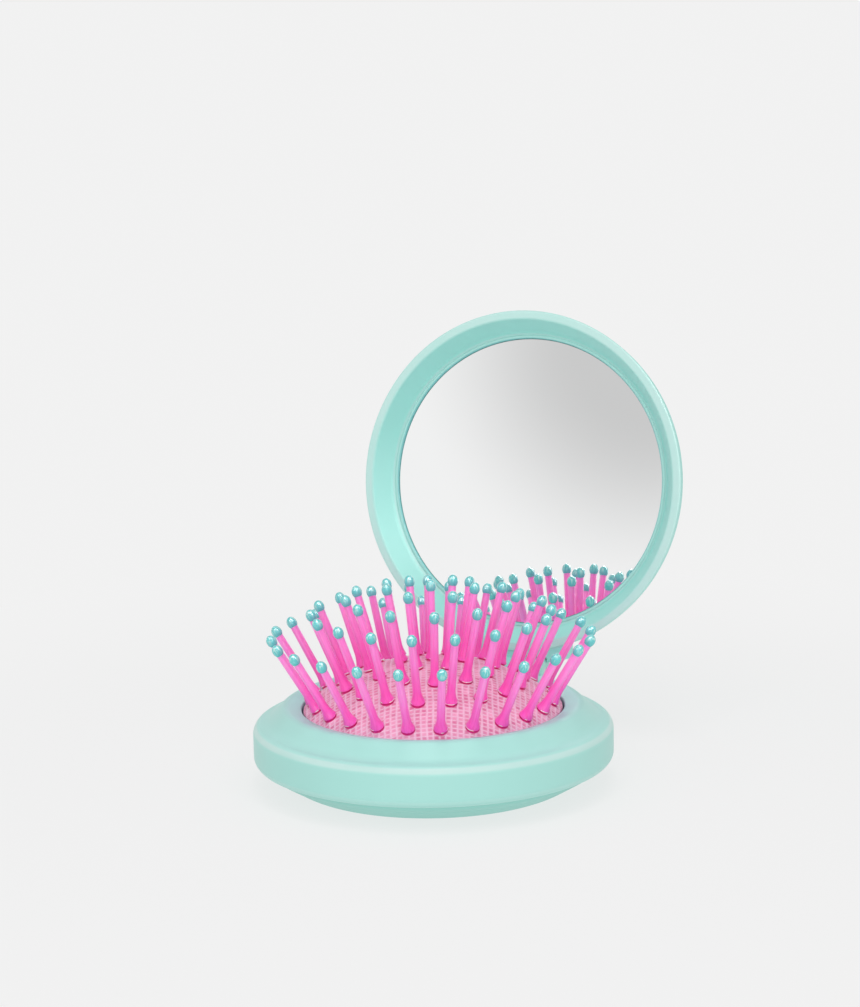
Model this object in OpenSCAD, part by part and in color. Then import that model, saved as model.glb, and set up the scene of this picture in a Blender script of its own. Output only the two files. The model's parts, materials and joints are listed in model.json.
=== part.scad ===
// Folding hairbrush with a mirror in its lid.
// A round base ring holds a domed rubber pad with five rings of ball-tipped pins.
// A hinged lid with a recessed mirror stands open behind it.
// The pad, its pins and the flat foot below slide down through the ring as the lid
// closes, and the soft skirt between the ring and the foot stretches with them.
// Millimetres, +Z up, origin at the centre of the flat foot, hinge towards +Y.

/* [Base ring] */
// Outer radius of the ring and of the lid
ring_r = 36; // [30:0.5:45]
// Height of the ring's lower edge above the table
ring_z = 4.85; // [3:0.05:10]
// Height of the ring's rounded ridge above the table
ridge_z = 13.15; // [10:0.05:16]
// Radius of the opening that the pad shows through
opening_r = 26.25; // [20:0.05:30]
// Slope of the collar's outer flank, in degrees
collar_slope = 43; // [20:1:60]
// Slope of the collar's top between the crest and the opening, in degrees
top_slope = 13.3; // [0:0.1:20]
// Radius of the collar's crest and of its rounding
crest = [29.4, 1.8];
// Wall thickness of the ring
wall = 2; // [1.2:0.1:3]

/* [Foot and skirt] */
// Radius of the flat foot
foot_r = 24.4; // [18:0.1:28]
// Radius of the skirt where it enters the base
skirt_r = 31.4; // [28:0.1:32]
// Slope of the skirt's cone, in degrees
skirt_slope = 31; // [20:1:45]
// Thickness of the soft skirt
skirt_t = 1.3; // [0.8:0.1:2]

/* [Bristle pad] */
// Radius of the sphere that the pad's outer face lies on
pad_sphere = 39.6; // [30:0.1:60]
// Height of the pad's crown above the table
crown_z = 25.2; // [18:0.1:30]
// Radius of the pad where it fills the opening
pad_r = 25.9; // [20:0.1:28]
// Thickness of the pad
pad_t = 1.8; // [1:0.1:3]

/* [Pins] */
// Pins in each ring, from the rim to the crown
pin_count = [24, 18, 12, 6, 1];
// Distance of each ring's roots from the axis
root_r = [23.9, 18, 12.2, 6.1, 0];
// Outward lean of each ring's pins, in degrees
pin_lean = [31.7, 22.9, 18.1, 10, 0];
// Angle of the first pin of each ring, in degrees from +X
first_pin = [-2, -94.5, -93.3, -96, 0];
// Distance from the pad's face to the centre of a ball tip
pin_l = 15; // [10:0.5:20]
// Half width of the flared root of a pin
root_flare = 1.38; // [1:0.02:2.2]
// Shaft radius just above the flare
shaft_low = 0.83; // [0.6:0.01:1.5]
// Shaft radius below the ball tip
shaft_top = 0.75; // [0.5:0.01:1.3]
// Half width and half height of a ball tip
tip_half = [1.05, 1.32];

/* [Lid] */
// Angle that the lid stands open, in degrees
open_angle = 99.8; // [0:0.1:110]
// Height of the lid's rim above the table when the lid is closed
rim_z = 13.3; // [10:0.05:16]
// Depth from the rim to the mirror's face
mirror_depth = 5.2; // [3:0.1:8]
// Radius of the mirror glass
mirror_r = 30.05; // [25:0.05:32]
// Thickness of the mirror glass
mirror_t = 1.3; // [0.8:0.1:3]
// Crown of the lid's back above its shoulder
back_crown = 1.2; // [0:0.1:4]

/* [Hinge] */
// Distance of the hinge axis behind the ring's axis
hinge_y = 39.73; // [38:0.01:46]
// Height of the hinge axis above the table
hinge_z = 14.13; // [10:0.01:18]
// Radius of the hinge knuckles
knuckle_r = 2.5; // [2:0.1:4]
// Total width of the knuckles
knuckle_w = 16; // [10:1:30]
// Radius of the hinge pin
pin_r = 0.8; // [0.5:0.05:1.5]
// Half width and outer radius of the lid's hinge flange
flange = [13, 38.8];

/* [Hidden] */
$fn = 96;
mint = [0.68, 0.88, 0.85];
dark_mint = [0.55, 0.78, 0.74];
pink = [0.94, 0.42, 0.72];
pale_pink = [0.93, 0.66, 0.78];
teal = [0.38, 0.76, 0.75];
steel = [0.75, 0.76, 0.78];
pad_cz = crown_z - pad_sphere;
// ring section: shoulder, hollow behind the ridge, flank, crest, lip of the opening
shoulder_r = 1.7;
shoulder_c = [ring_r - shoulder_r, ridge_z - shoulder_r];
hollow_r = 1.4;
lip = 0.35;
lip_c = [opening_r + lip, 15.93 + lip * (tan(top_slope) - 1 / cos(top_slope))];
crest_c = [crest[0], lip_c[1] + (crest[0] - lip_c[0]) * tan(top_slope)
                     - (crest[1] - lip) / cos(top_slope)];
flank = [cos(collar_slope), -sin(collar_slope)];
flank_up = [sin(collar_slope), cos(collar_slope)];
to_hollow = crest_c + (crest[1] + hollow_r) * flank_up - shoulder_c;
hollow_c = shoulder_c + to_hollow - flank * (to_hollow * flank
    + sqrt(pow(to_hollow * flank, 2) - to_hollow * to_hollow + pow(shoulder_r + hollow_r, 2)));
ridge_end = atan2(hollow_c[1] - shoulder_c[1], hollow_c[0] - shoulder_c[0]);
ring_in = ring_r - wall;
// level of each part inside the base
seat_z = 11.6;
frame_r = 27.7;
plunger_r = 24;
mirror_z = rim_z + mirror_depth;
ledge_z = mirror_z + mirror_t;
back_z = ledge_z + 0.55;
lug_w = 7.2;
gap_w = 8;
stem_r = 0.9;

function arc(c, r, a, b, n) =
    [for (i = [0:n]) c + r * [cos(a + (b - a) * i / n), sin(a + (b - a) * i / n)]];
function oval(c, rx, rz, a, b, n) =
    [for (i = [0:n]) c + [rx * cos(a + (b - a) * i / n), rz * sin(a + (b - a) * i / n)]];
// height of the collar's underside at radius r
function under(r) = min(14.2, crest_c[1] + (crest[1] - 1.7) / cos(collar_slope)
                              - (r - crest_c[0]) * tan(collar_slope));
function dome_z(r) = pad_cz + sqrt(pad_sphere * pad_sphere - r * r);

module lathe(points) rotate_extrude() polygon(points);
// turns the children, drawn with the lid closed, to the open lid
module open_lid()
    translate([0, hinge_y, hinge_z]) rotate([-open_angle, 0, 0])
        translate([0, -hinge_y, -hinge_z]) children();
// a flat outline in the YZ plane, w wide and centred on x
module slab(points, w, x = 0)
    translate([x + w / 2, 0, 0]) rotate([0, -90, 0]) linear_extrude(w)
        polygon([for (p = points) [p[1], p[0]]]);
module axle(r, w, x = 0)
    translate([x - w / 2, hinge_y, hinge_z]) rotate([0, 90, 0]) cylinder(r = r, h = w);
// places the children at every root of one ring of pins
module at_pins(k)
    for (i = [0:pin_count[k] - 1])
        rotate([0, 0, first_pin[k] + i * 360 / pin_count[k]])
            translate([root_r[k], 0, dome_z(root_r[k])]) rotate([0, pin_lean[k], 0]) children();

module ring_shell()
    color(mint) difference() {
        union() {
            lathe(concat(
                arc([ring_r - 1.9, ring_z + 1.9], 1.9, -90, 0, 8),
                arc(shoulder_c, shoulder_r, 0, ridge_end, 10),
                arc(hollow_c, hollow_r, ridge_end - 180, -90 - collar_slope, 5),
                arc(crest_c, crest[1], 90 - collar_slope, 90 + top_slope, 8),
                arc(lip_c, lip, 90 + top_slope, 180, 5),
                [[opening_r, 14.2], [30, 14.2], [31.2, under(31.2)], [31.2, 8], [32.2, 8],
                 [32.2, under(32.2)], [ring_in, under(ring_in)], [ring_in, ring_z]]));
            for (s = [-1, 1]) {
                slab(bracket(), (knuckle_w - gap_w) / 2, s * (knuckle_w + gap_w) / 4);
                axle(knuckle_r, (knuckle_w - gap_w) / 2, s * (knuckle_w + gap_w) / 4);
            }
        }
        axle(pin_r, knuckle_w + 2);
    }
function bracket() =
    [[34.8, 8.4], [36.4, 8], [hinge_y + 1.4, 11.2], [hinge_y + knuckle_r, hinge_z],
     [hinge_y - knuckle_r, hinge_z], [37, 12.2], [34.8, 12.2]];

// height of the skirt's cone at radius r
function cone_z(r) = 1.38 + (r - 28.84) * tan(skirt_slope);
module base_retainer()
    color(mint) lathe([[skirt_r, 7], [skirt_r, cone_z(skirt_r) + 0.15],
                       [skirt_r + 0.15, cone_z(skirt_r + 0.15)], [32.7, cone_z(32.7)],
                       [33.2, 4.15], [33.45, 4.7], [33.75, 5], [ring_in, 5], [ring_in, 7]]);

module cup_skirt()
    color(mint) lathe(concat(
        arc([foot_r - 0.2, 9.1], 9, -87.5, -90 + skirt_slope, 7),
        [[skirt_r - 0.15, cone_z(skirt_r - 0.15)], [skirt_r, cone_z(skirt_r) + 0.15],
         [skirt_r, 7], [33, 7], [33, 8], [skirt_r - skirt_t, 8],
         [skirt_r - skirt_t, 4.5], [skirt_r - skirt_t - 0.9, 3.4], [27.2, 2.4], [25.2, 2.1],
         [23, 2.1], [23, 0.9], [foot_r + 0.2, 0.9]]));

module hinge_pin()
    color(steel) axle(pin_r, knuckle_w - 0.3);

module foot_plate()
    color(mint) lathe([[0, 0], [foot_r - 0.4, 0], [foot_r, 0.4], [foot_r, 0.9],
                       [23, 0.9], [23, 2.1], [0, 2.1]]);

module plunger()
    color(dark_mint) difference() {
        union() {
            lathe([[20, 2.1], [24.6, 2.1], [24.6, 3.1], [plunger_r, 3.1], [plunger_r, 9.6],
                   [plunger_r - 1.6, 9.6], [plunger_r - 1.6, 3.1], [20, 3.1]]);
            for (a = [0:60:179]) rotate([0, 0, a + 30])
                translate([-22.9, -0.7, 3.1]) cube([45.8, 1.4, 4.9]);
        }
        translate([0, 0, 2]) cylinder(r = 6, h = 8);
    }

module cushion_frame()
    color(dark_mint) lathe([[21.4, 9.6], [frame_r, 9.6], [frame_r, under(frame_r) - 0.15],
                            [frame_r - 0.6, under(frame_r - 0.6) - 0.15],
                            [frame_r - 0.6, seat_z], [24.4, seat_z], [21.4, 10.6]]);

module cushion()
    color(pale_pink) difference() {
        union() {
            intersection() {
                translate([0, 0, pad_cz]) sphere(pad_sphere);
                translate([0, 0, seat_z]) cylinder(r = pad_r, h = 20);
            }
            translate([0, 0, seat_z]) cylinder(r = frame_r - 0.6, h = 1.2);
        }
        intersection() {
            translate([0, 0, pad_cz]) sphere(pad_sphere - pad_t);
            translate([0, 0, seat_z - 1]) cylinder(r = 24.4, h = 20);
        }
        for (k = [0:4]) at_pins(k) translate([0, 0, -4]) cylinder(r = stem_r, h = 5);
    }

module pin_ring(k)
    color(pink) at_pins(k) lathe([
        [0, -2.9], [1.5, -2.9], [1.5, -2.1], [stem_r, -2.1], [stem_r, 0.18], [root_flare, 0.18],
        [root_flare, 0.5], [root_flare - 0.16, 1], [root_flare - 0.4, 1.75],
        [root_flare - 0.51, 2.5], [shaft_low, 3.3], [shaft_top, tip_seat()],
        [0.55, tip_seat()], [0.55, pin_l], [0, pin_l]]);
module tip_ring(k)
    color(teal) at_pins(k) lathe(concat(
        [[0, pin_l], [0.55, pin_l], [0.55, tip_seat()]],
        oval([0, pin_l], tip_half[0], tip_half[1], -acos(shaft_top / tip_half[0]), 90, 10)));
// distance along a pin at which its ball tip is as wide as the shaft
function tip_seat() = pin_l - tip_half[1] * sqrt(1 - pow(shaft_top / tip_half[0], 2));

module pins_ring_1() pin_ring(0);
module pins_ring_2() pin_ring(1);
module pins_ring_3() pin_ring(2);
module pins_ring_4() pin_ring(3);
module pin_centre() pin_ring(4);
module tips_ring_1() tip_ring(0);
module tips_ring_2() tip_ring(1);
module tips_ring_3() tip_ring(2);
module tips_ring_4() tip_ring(3);
module tip_centre() tip_ring(4);

module lid_rim()
    color(mint) difference() {
        union() {
            open_lid() {
                lathe(concat(
                    arc([ring_r - 0.4, rim_z + 0.4], 0.4, -90, 0, 4),
                    [[ring_r - 0.5, rim_z + 3]],
                    arc([ring_r - 5, rim_z + 4.9], 3.5, 21, 81, 7),
                    [[31.5, rim_z + 8.3], [31.5, back_z], [28.8, back_z], [28.8, ledge_z],
                     [mirror_r + 0.12, ledge_z], [mirror_r + 0.12, mirror_z - 0.15]],
                    arc([mirror_r + 0.5, mirror_z - 0.2], 0.35, 180, 350, 6),
                    [[31.7, mirror_z - 1.1], [32.6, mirror_z - 2.6], [33.6, rim_z + 1]],
                    arc([34.55, rim_z + 0.6], 0.6, 170, 270, 5)));
                difference() {
                    flange_plate();
                    for (s = [-1, 1])
                        axle(3, (knuckle_w - lug_w) / 2 + 0.4, s * (knuckle_w + lug_w + 0.8) / 4);
                }
                axle(knuckle_r, lug_w);
                slab([[35.2, rim_z + 0.75], [35.2, rim_z + 3.5], [hinge_y, hinge_z + knuckle_r],
                      [hinge_y, hinge_z - 1.5], [37.4, rim_z + 0.75]], lug_w);
            }
            slab([for (p = [[1.6, 1.2], [-1.6, 1.2], [-3.54, -2.9], [-3.54, -4.5],
                            [-2.5, -4.8], [1.2, -2]]) [hinge_y, hinge_z] + p], lug_w);
        }
        axle(pin_r + 0.06, lug_w + 2);
    }
module flange_plate()
    translate([0, 0, rim_z + 0.35]) linear_extrude(3.2) difference() {
        union() {
            intersection() {
                circle(flange[1]);
                translate([1.5 - flange[0], 0]) square([2 * flange[0] - 3, 50]);
            }
            for (s = [-1, 1]) {
                translate([s * (flange[0] - 1.5), flange_y()]) circle(1.5);
                translate([s * (flange[0] - 1.5) - 1.5, 31]) square([3, flange_y() - 31]);
            }
        }
        circle(34.5);
    }
function flange_y() = sqrt(pow(flange[1] - 1.5, 2) - pow(flange[0] - 1.5, 2));

module lid_back()
    color(mint) open_lid() lathe(concat(
        [[0, back_z], [31.35, back_z]],
        [for (i = [0:8]) [31.35 * (1 - i / 8),
                          rim_z + 8.2 + back_crown * (1 - pow(1 - i / 8, 2))]]));

module mirror_glass()
    color(steel) open_lid() translate([0, 0, mirror_z]) cylinder(r = mirror_r, h = mirror_t);

module mirror_pad()
    color(dark_mint) open_lid() translate([0, 0, ledge_z]) cylinder(r = 28.6, h = 0.55);

ring_shell();
base_retainer();
cup_skirt();
hinge_pin();
foot_plate();
plunger();
cushion_frame();
cushion();
pins_ring_1();
pins_ring_2();
pins_ring_3();
pins_ring_4();
pin_centre();
tips_ring_1();
tips_ring_2();
tips_ring_3();
tips_ring_4();
tip_centre();
lid_rim();
lid_back();
mirror_glass();
mirror_pad();
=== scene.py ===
import bpy
import json
import math
import numpy as np
from mathutils import Matrix, Vector

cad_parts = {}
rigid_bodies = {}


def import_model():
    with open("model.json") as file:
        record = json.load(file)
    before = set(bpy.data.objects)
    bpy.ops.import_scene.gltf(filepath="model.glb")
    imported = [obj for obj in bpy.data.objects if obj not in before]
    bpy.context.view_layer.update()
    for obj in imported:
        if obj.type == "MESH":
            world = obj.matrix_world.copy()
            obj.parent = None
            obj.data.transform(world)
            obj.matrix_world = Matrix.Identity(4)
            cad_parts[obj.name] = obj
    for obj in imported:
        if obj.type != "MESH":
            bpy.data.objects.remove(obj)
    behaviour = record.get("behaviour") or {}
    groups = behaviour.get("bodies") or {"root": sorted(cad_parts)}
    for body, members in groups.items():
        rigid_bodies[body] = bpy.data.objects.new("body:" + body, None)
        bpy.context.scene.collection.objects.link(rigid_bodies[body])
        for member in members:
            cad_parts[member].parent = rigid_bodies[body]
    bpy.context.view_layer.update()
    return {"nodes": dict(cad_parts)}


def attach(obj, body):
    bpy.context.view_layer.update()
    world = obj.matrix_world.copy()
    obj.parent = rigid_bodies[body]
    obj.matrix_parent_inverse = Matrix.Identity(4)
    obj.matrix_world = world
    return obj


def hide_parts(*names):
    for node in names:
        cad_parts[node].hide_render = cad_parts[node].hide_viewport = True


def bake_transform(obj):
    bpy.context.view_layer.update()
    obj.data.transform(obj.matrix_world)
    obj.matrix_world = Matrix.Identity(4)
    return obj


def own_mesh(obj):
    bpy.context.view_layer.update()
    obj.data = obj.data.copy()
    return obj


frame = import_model()
mm = 0.001
nodes = frame["nodes"]
print("frame loaded:", len(nodes), "nodes")

cameraSettings = {
    "turn": 24.68, "tilt": 10.82, "roll": -1.1,  # degrees, about the brush
    "distance": 590.1, "aim": (0.0, 0.0, 9.0), "slideRight": 0.18, "slideUp": 47.01,  # millimetres
    "lens": 105.376, "sensor": 36,
}


def direction(turn, tilt):
    # (sin a cos e, -cos a cos e, sin e), with a turned about Z from the front and e tilted up, in degrees
    a, e = math.radians(turn), math.radians(tilt)
    return math.sin(a) * math.cos(e), -math.cos(a) * math.cos(e), math.sin(e)


def makeCamera(s):
    turn, roll = math.radians(s["turn"]), math.radians(s["roll"])
    back = Vector(direction(s["turn"], s["tilt"]))
    right = Vector((math.cos(turn), math.sin(turn), 0))
    up = back.cross(right)
    aim = Vector(s["aim"]) + right * s["slideRight"] + up * s["slideUp"]
    side = right * math.cos(roll) + up * math.sin(roll)
    top = up * math.cos(roll) - right * math.sin(roll)
    camera = bpy.data.objects.new("camera", bpy.data.cameras.new("camera"))
    camera.data.lens = s["lens"]
    camera.data.sensor_width = s["sensor"]
    camera.data.sensor_fit = "AUTO"
    camera.data.clip_start, camera.data.clip_end = 0.01, 20
    placed = Matrix((side, top, back)).transposed().to_4x4()
    placed.translation = (aim + back * s["distance"]) * mm
    camera.matrix_world = placed
    bpy.context.scene.collection.objects.link(camera)
    bpy.context.scene.camera = camera


makeCamera(cameraSettings)
bpy.context.scene.view_settings.view_transform = "Standard"


def arc(centre, radius, start, end, count):
    # centre + radius (cos a, sin a), with a from start to end in degrees
    a = np.radians(np.linspace(start, end, count))
    return np.stack([centre[0] + radius * np.cos(a), centre[1] + radius * np.sin(a)], 1)


def line(a, b, count):
    # a (1 - t) + b t at even steps, both ends left out
    t = np.linspace(0, 1, count + 2)[1:-1, None]
    return np.asarray(a) * (1 - t) + np.asarray(b) * t


def gridFaces(rows, columns, wrapRows=False, wrapColumns=False):
    # one quad between each pair of neighbouring rows and columns
    i = np.arange(rows if wrapRows else rows - 1)
    j = np.arange(columns if wrapColumns else columns - 1)
    i, j = (g.ravel() for g in np.meshgrid(i, j, indexing="ij"))
    i2, j2 = (i + 1) % rows, (j + 1) % columns
    return np.stack([i * columns + j, i * columns + j2, i2 * columns + j2, i2 * columns + j], 1)


def revolve(section, count):
    # the section (r, z) carried round Z: (r cos a, r sin a, z); one that starts and ends on the axis gets two poles
    section = np.concatenate([np.atleast_2d(p) for p in section]).astype(float)
    a = 2 * np.pi * np.arange(count) / count
    poled = section[0, 0] < 1e-6
    inner = section[1:-1] if poled else section
    r, z = inner[:, :1], inner[:, 1:]
    points = np.stack([r * np.cos(a), r * np.sin(a), z + 0 * a], 2).reshape(-1, 3)
    faces = [gridFaces(len(inner), count, wrapRows=not poled, wrapColumns=True)]
    if poled:
        ring, following = np.arange(count), (np.arange(count) + 1) % count
        last = (len(inner) - 1) * count
        faces.append(np.stack([np.full(count, len(points)), following, ring], 1))
        faces.append(np.stack([np.full(count, len(points) + 1), last + ring, last + following], 1))
        points = np.concatenate([points, [[0, 0, section[0, 1]], [0, 0, section[-1, 1]]]])
    return points, faces


def softCorners(corners, cut, steps=7):
    # each corner p becomes (1-s)^2 a + 2 s (1-s) p + s^2 b, where a and b lie a cut away along its two sides
    p = np.asarray(corners, float)
    cut = np.broadcast_to(np.asarray(cut, float), len(p))[:, None]
    before, after = np.roll(p, 1, 0) - p, np.roll(p, -1, 0) - p
    a = p + before / np.linalg.norm(before, axis=1, keepdims=True) * cut
    b = p + after / np.linalg.norm(after, axis=1, keepdims=True) * cut
    s = np.linspace(0, 1, steps)[None, :, None]
    return ((1 - s) ** 2 * a[:, None] + 2 * s * (1 - s) * p[:, None] + s ** 2 * b[:, None]).reshape(-1, 2)


def slab(outline, low, high, bevel, order=(0, 1, 2), between=0, steps=5):
    # an outline carried from low to high; near each end it is drawn in by b (1 - sin t) at b (1 - cos t) from the end
    tangent = np.roll(outline, -1, 0) - np.roll(outline, 1, 0)
    normal = np.stack([tangent[:, 1], -tangent[:, 0]], 1) / np.linalg.norm(tangent, axis=1, keepdims=True)
    x, y = outline.T
    if np.sum(x * np.roll(y, -1) - np.roll(x, -1) * y) < 0:
        normal = -normal
    t = np.linspace(0, np.pi / 2, steps)
    inset, along = bevel * (1 - np.sin(t)), bevel * (1 - np.cos(t))
    middle = np.linspace(low + bevel, high - bevel, between + 2)[1:-1]
    at = np.concatenate([low + along, middle, (high - along)[::-1]])
    drawnIn = np.concatenate([inset, 0 * middle, inset[::-1]])
    rings = outline[None] - normal[None] * drawnIn[:, None, None]
    points = np.concatenate([np.broadcast_to(at[:, None, None], (*rings.shape[:2], 1)), rings], 2)
    count = len(outline)
    caps = [np.arange(count)[None, ::-1], (len(at) - 1) * count + np.arange(count)[None]]
    return points.reshape(-1, 3)[:, list(order)], [gridFaces(len(at), count, wrapColumns=True), *caps]


def outward(points, faces):
    # the signed volume under the faces, sum of a . (b x c), tells which way they point
    volume = sum(
        np.einsum("ij,ij->", points[f[:, 0]], np.cross(points[f[:, k]], points[f[:, k + 1]]))
        for f in faces for k in range(1, f.shape[1] - 1)
    )
    return faces if volume > 0 else [f[:, ::-1] for f in faces]


def makeMesh(name, parts):
    # closed shells, each (points in millimetres, lists of faces), joined in one mesh in metres
    points, corners, sizes, base = [], [], [], 0
    for p, faces in parts:
        for f in outward(p, faces):
            corners.append((f + base).ravel())
            sizes.append(np.full(len(f), f.shape[1]))
        points.append(p)
        base += len(p)
    points, corners, sizes = (np.concatenate(v) for v in (points, corners, sizes))
    mesh = bpy.data.meshes.new(name)
    mesh.vertices.add(len(points))
    mesh.vertices.foreach_set("co", (points * mm).astype(np.float32).ravel())
    mesh.loops.add(len(corners))
    mesh.loops.foreach_set("vertex_index", corners.astype(np.int32))
    mesh.polygons.add(len(sizes))
    mesh.polygons.foreach_set("loop_start", (np.cumsum(sizes) - sizes).astype(np.int32))
    mesh.update(calc_edges=True)
    mesh.validate()
    return mesh


def makePiece(name, parts, body, finish, replaced, sharp=38):
    # a smooth piece with edges sharper than an angle kept; one without a body here is left without one
    mesh = makeMesh(name, parts)
    mesh.shade_smooth()
    mesh.set_sharp_from_angle(angle=math.radians(sharp))
    mesh.materials.append(finish)
    piece = bpy.data.objects.new(name, mesh)
    bpy.context.scene.collection.objects.link(piece)
    if body:
        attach(piece, body)
    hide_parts(*replaced)
    return piece


def tone(r, g, b):
    # display values from 0 to 255, made linear
    c = np.array([r, g, b]) / 255
    return (*np.where(c < 0.04045, c / 12.92, ((c + 0.055) / 1.055) ** 2.4), 1.0)


def grey(value):
    return (value, value, value, 1)


def put(tree, kind, values=None, **settings):
    # a shader node; each value is linked if it is another node's socket, and set if not
    node = tree.nodes.new("ShaderNode" + kind)
    for key, value in settings.items():
        setattr(node, key, value)
    for key, value in (values or {}).items():
        if isinstance(value, bpy.types.NodeSocket):
            tree.links.new(value, node.inputs[key])
        else:
            node.inputs[key].default_value = value
    return node


def calc(tree, operation, *values, **settings):
    return put(tree, "Math", dict(enumerate(values)), operation=operation, **settings).outputs[0]


def vectorCalc(tree, operation, values):
    output = "Value" if operation in ("LENGTH", "DISTANCE") else "Vector"
    return put(tree, "VectorMath", values, operation=operation).outputs[output]


def ramp(tree, value, low, high, start=0.0, end=1.0, smooth=False):
    # start at low, end at high, held beyond them
    return put(tree, "MapRange", {"Value": value, "From Min": low, "From Max": high, "To Min": start, "To Max": end},
               interpolation_type="SMOOTHSTEP" if smooth else "LINEAR").outputs[0]


def noise(tree, vector, scale, detail, **more):
    return put(tree, "TexNoise", {"Vector": vector, "Scale": scale, "Detail": detail, **more}).outputs["Fac"]


def mixColour(tree, factor, a, b, blend="MIX"):
    return put(tree, "Mix", {0: factor, 6: a, 7: b}, data_type="RGBA", blend_type=blend).outputs[2]


def objectPlace(tree):
    return put(tree, "TexCoord").outputs["Object"]


def newGroup(name, inputs, outputs):
    group = bpy.data.node_groups.new(name, "ShaderNodeTree")
    for label, kind, value in inputs:
        socket = group.interface.new_socket(label, in_out="INPUT", socket_type="NodeSocket" + kind)
        if value is not None:
            socket.default_value = value
    for label, kind in outputs:
        group.interface.new_socket(label, in_out="OUTPUT", socket_type="NodeSocket" + kind)
    return group, group.nodes.new("NodeGroupInput").outputs, group.nodes.new("NodeGroupOutput").inputs


def makeMouldedGroup():
    # moulded plastic: the colour times 1 + cloud (n - 1/2), the roughness gloss + shift (n - 1/2), and a fine grain
    group, given, end = newGroup("mouldedSurface", [
        ("Vector", "Vector", None), ("Colour", "Color", (1, 1, 1, 1)), ("Cloud", "Float", 0.04),
        ("Grain Size", "Float", 2600.0), ("Gloss", "Float", 0.3), ("Gloss Shift", "Float", 0.05)],
        [("Colour", "Color"), ("Roughness", "Float"), ("Height", "Float")])
    cloud = noise(group, given["Vector"], 55.0, 3.0)
    grain = noise(group, given["Vector"], given["Grain Size"], 2.0)
    handled = noise(group, given["Vector"], 210.0, 5.0, Roughness=0.6)
    spread = calc(group, "MULTIPLY_ADD", calc(group, "SUBTRACT", cloud, 0.5), given["Cloud"], 1.0)
    scaled = vectorCalc(group, "SCALE", {0: given["Colour"], "Scale": spread})
    rough = calc(group, "MULTIPLY_ADD", calc(group, "SUBTRACT", handled, 0.5), given["Gloss Shift"], given["Gloss"])
    for label, value in (("Colour", scaled), ("Roughness", rough), ("Height", grain)):
        group.links.new(value, end[label])
    return group


def makePaintedLightGroup():
    # a line of painted light round a turned rim, which paints a highlight where its tone is pale and shade where it is
    # dark:
    # a point (r, z) about the axis at Axis Y, in millimetres, counts by the length of ((r - Radius) / Width, (z -
    # Level) / Height):
    # 1 below a half, 0 past 1.3, thinned in places by a slow noise
    group, given, end = newGroup("rubbedLine", [
        ("Vector", "Vector", None), ("Axis Y", "Float", 0.0), ("Radius", "Float", 35.0), ("Level", "Float", 12.0),
        ("Width", "Float", 0.5), ("Height", "Float", 0.5), ("Strength", "Float", 0.5)], [("Mask", "Float")])
    large = vectorCalc(group, "SCALE", {0: given["Vector"], "Scale": 1000.0})
    parts = put(group, "SeparateXYZ", {0: large}).outputs
    flat = put(group, "CombineXYZ", {"X": parts["X"], "Y": calc(group, "SUBTRACT", parts["Y"], given["Axis Y"])})
    r = vectorCalc(group, "LENGTH", {0: flat.outputs[0]})
    away = [calc(group, "DIVIDE", calc(group, "SUBTRACT", value, given[middle]), given[size])
            for value, middle, size in ((r, "Radius", "Width"), (parts["Z"], "Level", "Height"))]
    both = put(group, "CombineXYZ", {"X": away[0], "Y": away[1]})
    length = vectorCalc(group, "LENGTH", {0: both.outputs[0]})
    inside = ramp(group, length, 0.5, 1.3, 1.0, 0.0, smooth=True)
    thin = ramp(group, noise(group, given["Vector"], 120.0, 3.0), 0.3, 0.6, 0.82, 1.0)
    mask = calc(group, "MULTIPLY", calc(group, "MULTIPLY", inside, thin), given["Strength"])
    group.links.new(mask, end["Mask"])
    return group


def makeDrawnGroup():
    # lines drawn out along a turned piece: noise on the piece's own place, squeezed across it and stretched along it
    group, given, end = newGroup("drawnLines", [
        ("Vector", "Vector", None), ("Fineness", "Vector", (2.6, 2.6, 0.09)), ("Low", "Float", 0.36),
        ("High", "Float", 0.56)], [("Mask", "Float"), ("Along", "Float")])
    stretched = vectorCalc(group, "MULTIPLY", {0: given["Vector"], 1: given["Fineness"]})
    group.links.new(ramp(group, noise(group, stretched, 1.0, 2.5), given["Low"], given["High"]), end["Mask"])
    group.links.new(put(group, "SeparateXYZ", {0: given["Vector"]}).outputs["Z"], end["Along"])
    return group


mouldedSurface, rubbedLine, drawnLines = makeMouldedGroup(), makePaintedLightGroup(), makeDrawnGroup()


def startMaterial(name, **sockets):
    material = bpy.data.materials.new(name)
    material.use_nodes = True
    shader = material.node_tree.nodes["Principled BSDF"]
    for key, value in sockets.items():
        shader.inputs[key.replace("_", " ")].default_value = value
    return material, material.node_tree, shader


def dress(tree, shader, colour, rough=None, bump=None):
    # links what changes over the surface to the shader
    for socket, value in (("Base Color", colour), ("Roughness", rough), ("Normal", bump and bump.outputs["Normal"])):
        if value:
            tree.links.new(value, shader.inputs[socket])


def moulded(name, colour, gloss, cloud=0.05, grain=2600.0, depth=0.006, glossShift=0.06, rubs=(), turned=None,
            tint=None, **sockets):
    # tint, where given, builds a colour that changes over the piece; each line of painted light lays its own tone along
    # one line round the rim, a painted highlight where the tone is pale and painted shade where it is dark
    material, tree, shader = startMaterial(name, **sockets)
    place = objectPlace(tree)
    surface = put(tree, "Group", {
        "Vector": place, "Colour": tint(tree, colour) if tint else colour, "Cloud": cloud, "Grain Size": grain,
        "Gloss": gloss, "Gloss Shift": glossShift}, node_tree=mouldedSurface).outputs
    colour = surface["Colour"]
    if turned:
        place = put(tree, "Mapping", {"Vector": place, **turned}, vector_type="TEXTURE").outputs["Vector"]
    for paintedMark in rubs:
        values = {key: value for key, value in paintedMark.items() if key != "tone"}
        mask = put(tree, "Group", {"Vector": place, **values}, node_tree=rubbedLine).outputs["Mask"]
        colour = mixColour(tree, mask, colour, paintedMark["tone"])
    bump = put(tree, "Bump", {"Height": surface["Height"], "Distance": depth * mm, "Strength": 0.6})
    dress(tree, shader, colour, surface["Roughness"], bump)
    return material


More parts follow.
